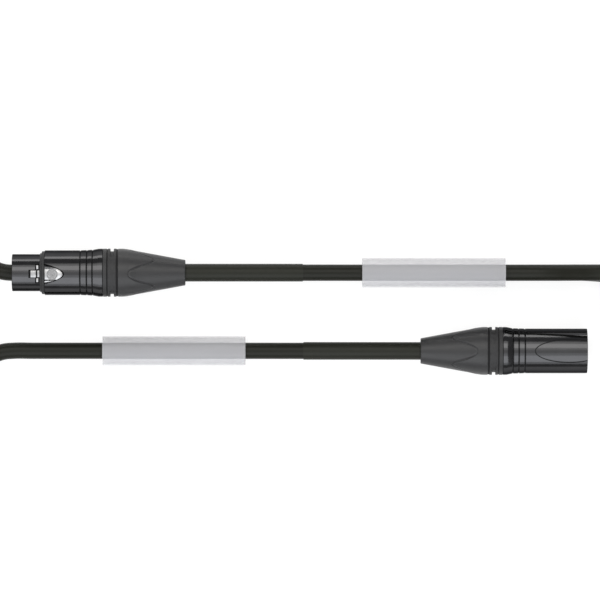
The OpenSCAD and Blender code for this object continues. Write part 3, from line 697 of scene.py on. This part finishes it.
RING_W = 3.6
RING_S = 2.15               # where the ring starts, behind the shell's rear face
RING_BORE = 8.2
FRONT_SHOULDER = 0.4        # a lower shoulder on each side of the ring, black as painted shade in the gaps
REAR_SHOULDER = 0.72
SHOULDER_R = 10.05
NOTCH_S = 1.02              # where the notches start in the ring, and how wide they are
NOTCH_W = 1.56
NOTCH_HALF = 7.2            # half the height of each notch
NOTCH_FLOOR_R = 9.12

ring_plastic = finished(
    "ring_plastic", (0.02, 0.02, 0.021), 0.52, tone=0.3, gloss=0.1, grain=2200, depth=0.00008,
    shine=0.25, patch=650,
)
# Near-black: painted shade for the shoulders that fill the gaps beside each coding ring.
painted_shade_shoulder = finished("painted_shade_shoulder", (0.006, 0.006, 0.0065), 0.6, shine=0.15)
front_ring = turned([
    (11.9, 7.82, 0.05), (11.9, 8.28, 0.1), (12.62, 8.34, 0.0), (12.62, 9.0, 0.15),
    (12.95, 9.16, 0.15), (13.85, 9.16, 0.1), (13.85, 7.82, 0.05),
])
front_ring = mesh_piece("female_front_ring_moulded", front_ring, FEMALE, ring_plastic)
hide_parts("female_front_ring")
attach(front_ring, "cable")

for side, place, length in [("female", FEMALE, FEMALE_LEN), ("male", MALE, MALE_LEN)]:
    front = length + RING_S
    rear = front + RING_W
    ring = loose_piece(turned([
        (front - FRONT_SHOULDER, RING_BORE, 0.0), (front - FRONT_SHOULDER, SHOULDER_R, 0.0),
        (front, SHOULDER_R, 0.0), (front, COLLAR_R, 0.15), (rear, COLLAR_R, 0.15),
        (rear, SHOULDER_R, 0.0), (rear + REAR_SHOULDER, SHOULDER_R, 0.0),
        (rear + REAR_SHOULDER, RING_BORE, 0.0),
    ]))
    notch_s = front + NOTCH_S
    notch = combined(
        loose_piece(block(notch_s, notch_s + NOTCH_W, COLLAR_R + 1, -NOTCH_HALF, NOTCH_HALF)),
        [loose_piece(round_bar(front, rear, NOTCH_FLOOR_R, 192))],
    )
    combined(ring, [notch])
    bm = settled(ring)
    # The shoulders take the painted shade black.
    for face in bm.faces:
        if not front < face.calc_center_median().x < rear:
            face.material_index = 1
    ring = mesh_piece(side + "_coding_ring_moulded", bm, place, ring_plastic)
    ring.data.materials.append(painted_shade_shoulder)
    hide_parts(side + "_coding_ring")
    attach(ring, side + "_ring")

gland_plastic = finished(
    "gland_plastic", (0.022, 0.022, 0.023), 0.47, tone=0.08, gloss=0.06, grain=2400,
    depth=0.00002, shine=0.25,
)
dress(gland_plastic, "female_gland", "male_gland")

# ---------------------------------------------------------------------------------------------
# Boots. A soft matte rubber cone is moulded over each gland and turns with it. Four leaf-shaped
# grips are sunk in it, on its top, bottom and sides, each edged with a fine crease, and the four
# tongues that stand between them end half way down the cone.
# ---------------------------------------------------------------------------------------------

BOOT_S = 6.5
BOOT_LEN = 28.65
TAIL_R = 5.47
LEAF_S = 4.45               # the leaves' tips, behind the boot's wide end
LEAF_RATE = 1.52            # half a leaf's width over the root of the distance from its tip
LEAF_END = 9.4              # where its edge starts to curve out round the tongues
LEAF_FLARE = 1.2            # how far out it has curved after the flare's length
LEAF_FLARE_LEN = 1.6
LEAF_DEPTH = 0.24
LEAF_RANGE = (-0.6, 12.5)   # the stretch of the skin that the grips shape, behind their tips
CREASE_W = 0.24
CREASE_DEPTH = 0.36
CONE_STEPS = 120
SKIN_S = 2.0                # where the cone's stations start
CABLE_BORE_R = 4.02
SEAT_R = 7.55               # the wide bore that holds the gland, and its length
SEAT_LEN = 9.1
BOOT_OUTLINE = [
    (1.7, 10.26), (2.7, 10.18), (3.6, 10.07), (4.4, 9.96), (5.3, 9.8), (6.1, 9.62), (6.9, 9.45),
    (7.8, 9.24),
]

rubber = finished(
    "boot_rubber", (0.026, 0.026, 0.0272), 0.36, tone=0.05, gloss=0.06, grain=3200, depth=0.00003,
    shine=0.25,
)


def smooth_step(low, high, value):
    """Rises from 0 to 1 between two values, level at both ends."""
    t = max(0.0, min(1.0, (value - low) / (high - low)))
    return t * t * (3 - 2 * t)


def boot_radius(s):
    """The boot's outer radius at a distance behind its wide end."""
    for (s0, r0), (s1, r1) in zip(BOOT_OUTLINE, BOOT_OUTLINE[1:] + [(BOOT_LEN - 0.3, TAIL_R)]):
        if s <= s1:
            return r0 + (r1 - r0) * (s - s0) / (s1 - s0)


def leaf_distance(behind, r, angle):
    """How far inside the nearest leaf's edge a point of the skin lies."""
    nearest = angle - math.pi / 2 * round(angle / (math.pi / 2))
    across = abs(r * math.sin(nearest))
    if behind <= 0:
        return -math.hypot(behind, across)
    out = max(0.0, (behind - LEAF_END) / LEAF_FLARE_LEN)
    half = LEAF_RATE * math.sqrt(behind) + LEAF_FLARE * out ** 3
    slope = LEAF_RATE / (2 * math.sqrt(behind)) + 3 * LEAF_FLARE / LEAF_FLARE_LEN * out ** 2
    return (half - across) / math.hypot(1, slope)


for side, place, length in [("female", FEMALE, FEMALE_LEN), ("male", MALE, MALE_LEN)]:
    s0, s1 = length + BOOT_S, length + BOOT_S + BOOT_LEN
    skin = [SKIN_S + (BOOT_LEN - SKIN_S - 0.35) * k / CONE_STEPS for k in range(CONE_STEPS)]
    rim = [(s0, SEAT_R, 0.0), (s0, COLLAR_R, 0.25)]
    tail_and_bore = [
        (s1, TAIL_R - 0.02, 0.28), (s1, CABLE_BORE_R, 0.2), (s0 + SEAT_LEN, CABLE_BORE_R, 0.0),
        (s0 + SEAT_LEN, SEAT_R, 0.0),
    ]
    bm = turned(rim + [(s0 + s, boot_radius(s), 0.0) for s in skin] + tail_and_bore, steps=384)
    for vert in bm.verts:
        s, y, z = vert.co
        r = math.hypot(y, z)
        behind = s - s0 - LEAF_S
        if not LEAF_RANGE[0] <= behind <= LEAF_RANGE[1] or r < TAIL_R - 0.3:
            continue
        inside = leaf_distance(behind, r, math.atan2(y, z))
        tongue = LEAF_DEPTH * smooth_step(0, 4, behind) * (1 - smooth_step(-0.15, 0.2, inside))
        fade = 0.5 + 0.5 * smooth_step(0.4, 2.5, behind)
        crease = CREASE_DEPTH * math.exp(-((inside / CREASE_W) ** 2)) * fade
        grow = (r + tongue - crease) / r
        vert.co.y, vert.co.z = y * grow, z * grow
    boot = mesh_piece(side + "_boot_rubber", bm, place, rubber, sharp=50)
    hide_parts(side + "_boot")
    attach(boot, side + "_boot")

# ---------------------------------------------------------------------------------------------
# Latch. A lever of bright nickel-plated zinc turns on a pin under the body. Its hook and the two
# stops beside it stand in the nose's window. Its press pad fills the arched window, with a raised
# plate down the middle, a slot along one side of it, and a round, dimpled boss for the thumb.
# ---------------------------------------------------------------------------------------------

LEVER_Z = 5.75              # the lever's underside
LEVER_T = 0.8
HOOK_S = 7.9
HOOK_LEN = 2.75
HOOK_HALF = 1.48
STOP_S = 10.4
STOP_LEN = 1.0
STOP_HALF = 0.82
STOP_Y = 2.72               # how far each stop lies to the side of the hook
STEP_S = 10.85              # the step behind the hook
STEP_LEN = 1.1
PAD_S = BODY_S + 0.18
PAD_LEN = 7.6
PAD_HALF = 4.05
PAD_STRETCH = 1.06          # how much further it reaches on the female's outer side
PAD_R = 9.35
PAD_Y = -0.15               # the pad sits a little to one side in its window
PLATE_HALF = 2.2
PLATE_STEP = 0.5            # how far the plate stands over the pad's two slopes
ROOF_HALF = 4.6
STEEP = math.tan(math.radians(35))
SHALLOW = math.tan(math.radians(30))
SLOT_Y = -PLATE_HALF - 0.25
SLOT_HALF = 0.32
SLOT_LEN = 4.8
BOSS_S = BODY_S + 3.4
BOSS_R = 2.42
BOSS_RISE = 0.24            # how far the boss stands over the plate
DIMPLE_R = 0.24
DIMPLE_STEP = (0.66, 0.57)  # along and across the pad, with every other row moved half a step
PIVOT_S = 22.2

bright_metal = finished(
    "bright_nickel", (0.36, 0.36, 0.365), 0.36, tone=0.07, gloss=0.07, grain=1600,
    depth=0.000015, metallic=1.0, patch=900,
)
# A near-black copy of the nickel: painted shade for the lever's parts, slot and groove that lie in
# shadow, and for the pin.
painted_shade_nickel_metal = finished("painted_shade_nickel", (0.012, 0.012, 0.0125), 0.5, metallic=1.0)
# A darker, smoother copy of the nickel for the hook, the step, the pad's steep slope and the boss's
# top: its lower roughness is real, its darker tone is painted shade.
glossy_painted_shade_metal = finished(
    "glossy_painted_shade_nickel", (0.31, 0.31, 0.315), 0.2, tone=0.12, gloss=0.05, grain=1600,
    depth=0.000008, metallic=1.0, patch=900,
)


def raised(outline, along, start, span):
    """An outline drawn across X (along is 0) or Y (along is 1), and raised along that axis."""
    bm = bmesh.new()
    spots = [(start, *point) if along == 0 else (point[0], start, point[1]) for point in outline]
    face = bm.faces.new([bm.verts.new(spot) for spot in spots])
    made = bmesh.ops.extrude_face_region(bm, geom=[face])
    far = [part for part in made["geom"] if isinstance(part, bmesh.types.BMVert)]
    bmesh.ops.translate(bm, verts=far, vec=(span, 0, 0) if along == 0 else (0, span, 0))
    bmesh.ops.recalc_face_normals(bm, faces=bm.faces)
    return bm


def hook_shape():
    """The hook's side outline, raised across the lever and rounded."""
    top = NOSE_R + 0.8
    outline = [
        (0, LEVER_Z), (0, top - 0.3), (0.2, top - 0.05), (HOOK_LEN - 0.3, top),
        (HOOK_LEN, top - 0.3), (HOOK_LEN, LEVER_Z),
    ]
    bm = raised([(HOOK_S + s, z) for s, z in outline], 1, -HOOK_HALF, 2 * HOOK_HALF)
    bmesh.ops.bevel(
        bm, geom=bm.edges[:], offset=0.14, offset_type="OFFSET", segments=3, profile=0.5,
        affect="EDGES", material=-1,
    )
    return bm


def rounded_top(target, offset):
    """Rounds the sharp upper edges of a loose piece."""
    bm = settled(target)
    edges = [
        edge for edge in bm.edges
        if len(edge.link_faces) == 2 and edge.calc_face_angle(0) > math.radians(40)
        and min(vert.co.z for vert in edge.verts) > LEVER_Z + 0.9
    ]
    bmesh.ops.bevel(
        bm, geom=edges, offset=offset, offset_type="OFFSET", segments=2, profile=0.5,
        affect="EDGES", clamp_overlap=True, material=-1,
    )
    return bm


roof_top = PAD_R - PLATE_STEP
slope_width = ROOF_HALF - PLATE_HALF
roof = raised([
    (-ROOF_HALF, LEVER_Z - 1), (ROOF_HALF, LEVER_Z - 1),
    (ROOF_HALF, roof_top - slope_width * STEEP), (PLATE_HALF, roof_top), (-PLATE_HALF, roof_top),
    (-ROOF_HALF, roof_top - slope_width * SHALLOW),
], 0, PAD_S - 1, PAD_LEN + 4.4)
pad_outline = [
    (s, y * PAD_STRETCH if y > 0 else y) for s, y in arch(PAD_S, PAD_LEN, PAD_HALF)
]
pad_base = combined(
    loose_piece(prism(pad_outline, LEVER_Z, CUT_TO)), [loose_piece(roof)], "INTERSECT",
)
combined(pad_base, [loose_piece(block(
    PAD_S - 1, PAD_S + SLOT_LEN, SLOT_HALF, LEVER_Z + LEVER_T, CUT_TO, centre_y=SLOT_Y,
))])
plate = prism([
    (PAD_S + 0.02, -PLATE_HALF), (PAD_S + PAD_LEN, -PLATE_HALF), (PAD_S + PAD_LEN, PLATE_HALF),
    (PAD_S + 0.02, PLATE_HALF),
], LEVER_Z + 0.2, CUT_TO)
pad_plate = combined(
    loose_piece(plate),
    [
        loose_piece(prism(arch(PAD_S, PAD_LEN - 0.2, PAD_HALF - 0.15), LEVER_Z - 1, 13)),
        loose_piece(round_bar(PAD_S - 1, PAD_S + PAD_LEN + 1, PAD_R, 128)),
    ], "INTERSECT",
)
boss = bmesh.new()
bmesh.ops.create_cone(
    boss, cap_ends=True, segments=64, radius1=BOSS_R + 0.1, radius2=BOSS_R, depth=1.6,
)
for thickness, height in [(0.14, 0.0), (0.1, -0.25), (0.2, 0.0), (0.1, 0.17)]:
    cap = [face for face in boss.faces if len(face.verts) > 4 and face.normal.z > 0.9]
    bmesh.ops.inset_region(boss, faces=cap, thickness=thickness, depth=0.0)
    corners = list({vert for face in cap for vert in face.verts})
    bmesh.ops.translate(boss, verts=corners, vec=(0, 0, height))
bmesh.ops.translate(boss, verts=boss.verts, vec=(BOSS_S, 0, PAD_R + BOSS_RISE - 0.8))
pad = [rounded_top(pad_base, 0.08), rounded_top(pad_plate, 0.12), boss]
for row in range(-3, 4):
    for column in range(-3, 4):
        s, y = DIMPLE_STEP[0] * (column + 0.5 * (row % 2)), DIMPLE_STEP[1] * row
        if math.hypot(s, y) < BOSS_R - 0.75:
            dome = bmesh.new()
            bmesh.ops.create_uvsphere(dome, u_segments=16, v_segments=8, radius=DIMPLE_R)
            bmesh.ops.scale(dome, verts=dome.verts, vec=(1, 1, 0.8))
            bmesh.ops.translate(dome, verts=dome.verts, vec=(BOSS_S + s, y, PAD_R + 0.14))
            pad.append(dome)
for part in pad:
    bmesh.ops.translate(part, verts=part.verts, vec=(0, PAD_Y, 0))
stop_top = LEVER_Z + LEVER_T + 0.45
stops = [
    block(STOP_S, STOP_S + STOP_LEN, STOP_HALF, LEVER_Z, stop_top, 0.14, centre_y=side * STOP_Y)
    for side in (1, -1)
]
step = block(STEP_S, STEP_S + STEP_LEN, HOOK_HALF - 0.06, LEVER_Z, NOSE_R - 0.15, 0.16)
glossy_painted_shade_parts = [hook_shape(), step]
painted_shade_parts = [                      # the neck, the bar that carries the stops, and the pivot's arms, in painted shade
    block(HOOK_S, PAD_S + 1, 1.2, LEVER_Z, LEVER_Z + LEVER_T, 0.1),
    block(10.5, 11.3, 3.2, LEVER_Z, LEVER_Z + 0.4, 0.08),
    block(10.5, PAD_S + 1, 2.4, LEVER_Z, LEVER_Z + LEVER_T - 0.1, 0.1),
] + [
    block(PIVOT_S - 2, PIVOT_S, 0.5, LEVER_Z, LEVER_Z + 1.15, 0.1, centre_y=side * 1.7)
    for side in (1, -1)
]
BRIGHT, PAINTED_SHADE, GLOSSY_PAINTED_SHADE = range(3)
lever = bmesh.new()
for finish, parts in [(BRIGHT, pad + stops), (PAINTED_SHADE, painted_shade_parts), (GLOSSY_PAINTED_SHADE, glossy_painted_shade_parts)]:
    for part in parts:
        for face in part.faces:
            s, y, z = face.calc_center_median()
            up = face.normal.z
            r = math.hypot(s - BOSS_S, y - PAD_Y)
            # Painted shade: the boss's groove ring, the slot's walls and the pad's low faces take
            # the near-black nickel. The dimpled top and the steep slope take the darker, glossier
            # nickel, whose darker tone is painted shade.
            ringed = part is boss and BOSS_R - 0.28 < r < BOSS_R - 0.12
            in_slot = abs(y - PAD_Y - SLOT_Y) < SLOT_HALF + 0.1 and up < 0.8
            painted_shade_face = part is pad[0] and (in_slot or z < LEVER_Z + 0.9)
            steep = part is pad[0] and face.normal.y > 0.3 and up > 0.6
            dimpled = part in pad[2:] and r < BOSS_R - 0.28
            if ringed or painted_shade_face:
                face.material_index = PAINTED_SHADE
            elif dimpled or steep:
                face.material_index = GLOSSY_PAINTED_SHADE
            else:
                face.material_index = finish
        scrap = bpy.data.meshes.new("scrap")
        part.to_mesh(scrap)
        part.free()
        lever.from_mesh(scrap)
        bpy.data.meshes.remove(scrap)
latch = mesh_piece("latch_plated", lever, FEMALE, bright_metal, sharp=32)
latch.data.materials.append(painted_shade_nickel_metal)
latch.data.materials.append(glossy_painted_shade_metal)
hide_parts("latch_lever")
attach(latch, "latch")
# The pin, seen in the gap at the window's tip, takes the painted shade nickel.
dress(painted_shade_nickel_metal, "latch_pin")

# ---------------------------------------------------------------------------------------------
# Inside pieces. Black glass-filled inserts hold gold-plated contacts. Behind them lie the
# soldered wires and the slotted chuck that the gland squeezes onto the jacket.
# ---------------------------------------------------------------------------------------------

dress(
    finished(
        "insert_plastic", (0.022, 0.022, 0.024), 0.45, tone=0.15, gloss=0.08, grain=1800,
        depth=0.00003,
    ),
    "female_insert", "male_insert",
)
dress(
    finished(
        "gold_plating", (0.86, 0.62, 0.28), 0.2, tone=0.04, gloss=0.05, grain=1200,
        depth=0.000003, metallic=1.0,
    ),
    *[f"female_contact_{n}" for n in (1, 2, 3)], *[f"male_pin_{n}" for n in (1, 2, 3)],
)
dress(
    finished(
        "spring_steel", (0.52, 0.52, 0.54), 0.3, tone=0.05, gloss=0.06, grain=2000,
        depth=0.000008, metallic=1.0,
    ),
    "female_ground_spring", "male_ground_spring",
)
# The latch spring, seen in the gap at the window's tip, is near-black as painted shade.
dress(
    finished(
        "painted_shade_wire", (0.016, 0.016, 0.017), 0.45, tone=0.1, gloss=0.06, grain=2500,
        depth=0.00001, metallic=1.0,
    ),
    "latch_spring",
)
dress(
    finished(
        "chuck_plastic", (0.26, 0.26, 0.27), 0.5, tone=0.06, gloss=0.05, grain=2200, depth=0.00002,
    ),
    "female_chuck", "male_chuck",
)
dress(
    finished(
        "shield_wire", (0.62, 0.46, 0.34), 0.35, tone=0.3, gloss=0.1, grain=5000, depth=0.00012,
        streak=0.4, metallic=1.0,
    ),
    "female_wire_1", "male_wire_1",
)
dress(
    finished(
        "red_insulation", (0.42, 0.03, 0.028), 0.4, tone=0.05, gloss=0.05, grain=2500,
        depth=0.00001,
    ),
    "female_wire_2", "male_wire_2",
)
dress(
    finished(
        "white_insulation", (0.78, 0.76, 0.71), 0.4, tone=0.03, gloss=0.05, grain=2500,
        depth=0.00001,
    ),
    "female_wire_3", "male_wire_3",
)

# ---------------------------------------------------------------------------------------------
# Floor and light. The floor is plain and white, and keeps a soft shadow. Long soft boxes lie
# over the object, across its length, so that the plated shells show bright and dark bands.
# ---------------------------------------------------------------------------------------------

FLOOR_HALF = 30.0
FLOOR_SHADOW = 0.25         # how much of the floor's white comes from the lamps, and is shadowed
FLOOR_GLOW = 0.8
FLOOR_BOUNCE = 0.7          # the floor's colour for what lights the object
ARC_R = 1.1                 # from the axes to the soft boxes
BOX_LENGTH = 1.2
BOX_X = -0.1
WORLD_GREY = (0.4, 0.4, 0.405)

bm = bmesh.new()
bmesh.ops.create_grid(bm, x_segments=1, y_segments=1, size=FLOOR_HALF)
floor_mesh = bpy.data.meshes.new("floor")
bm.to_mesh(floor_mesh)
bm.free()
floor = bpy.data.objects.new("floor", floor_mesh)
scene.collection.objects.link(floor)
floor_paint = bpy.data.materials.new("floor_paint")
floor_paint.use_nodes = True
tree = floor_paint.node_tree
tree.nodes.clear()
out = tree.nodes.new("ShaderNodeOutputMaterial")
seen = tree.nodes.new("ShaderNodeLightPath")
sees_1 = node_in(tree, "ShaderNodeMath", operation="MAXIMUM")
sees_2 = node_in(tree, "ShaderNodeMath", operation="MAXIMUM")
lit = node_in(tree, "ShaderNodeBsdfDiffuse", Color=(FLOOR_SHADOW, FLOOR_SHADOW, FLOOR_SHADOW, 1))
glow = node_in(tree, "ShaderNodeEmission", Color=(1, 1, 1, 1), Strength=FLOOR_GLOW)
both = tree.nodes.new("ShaderNodeAddShader")
plain = node_in(tree, "ShaderNodeBsdfDiffuse", Color=(FLOOR_BOUNCE, FLOOR_BOUNCE, FLOOR_BOUNCE, 1))
choice = tree.nodes.new("ShaderNodeMixShader")
for source, target in [
    (seen.outputs["Is Camera Ray"], sees_1.inputs[0]),
    (seen.outputs["Is Glossy Ray"], sees_1.inputs[1]), (sees_1.outputs[0], sees_2.inputs[0]),
    (seen.outputs["Is Transmission Ray"], sees_2.inputs[1]),
    (lit.outputs[0], both.inputs[0]), (glow.outputs[0], both.inputs[1]),
    (sees_2.outputs[0], choice.inputs[0]), (plain.outputs[0], choice.inputs[1]),
    (both.outputs[0], choice.inputs[2]), (choice.outputs[0], out.inputs["Surface"]),
]:
    tree.links.new(source, target)
floor_mesh.materials.append(floor_paint)

# Each soft box spans an arc, in degrees from straight up, towards the female's side where positive.
for name, start, end, radiance, tint in [
    ("middle", -12, 4, 1.0, (1.0, 1.0, 0.99)),
    ("upper_edge", 4, 14, 1.6, (1.0, 0.99, 0.96)),
    ("upper_box", 14, 36, 3.5, (1.0, 0.985, 0.95)),
    ("upper_falloff", 36, 48, 1.7, (1.0, 0.985, 0.95)),
    ("low_strip", 77, 95, 3.6, (1.0, 0.985, 0.95)),
    ("lower_edge", -25, -12, 1.7, (0.97, 0.99, 1.0)),
    ("lower_box", -60, -25, 3.1, (0.96, 0.98, 1.0)),
    ("lower_falloff", -72, -60, 1.5, (0.96, 0.98, 1.0)),
]:
    lamp = bpy.data.lights.new(name, "AREA")
    lamp.shape = "RECTANGLE"
    lamp.size = BOX_LENGTH
    lamp.size_y = 2 * ARC_R * math.tan(math.radians((end - start) / 2))
    lamp.energy = radiance * math.pi * lamp.size * lamp.size_y
    lamp.color = tint
    holder = bpy.data.objects.new(name, lamp)
    middle = math.radians((start + end) / 2)
    holder.location = (BOX_X, ARC_R * math.sin(middle), mean_level + ARC_R * math.cos(middle))
    holder.rotation_euler = (-middle, 0, 0)
    holder.visible_camera = False
    scene.collection.objects.link(holder)

world = bpy.data.worlds.new("studio")
scene.world = world
world.use_nodes = True
world.node_tree.nodes["Background"].inputs["Color"].default_value = (*WORLD_GREY, 1)

scene.view_settings.view_transform = "Standard"
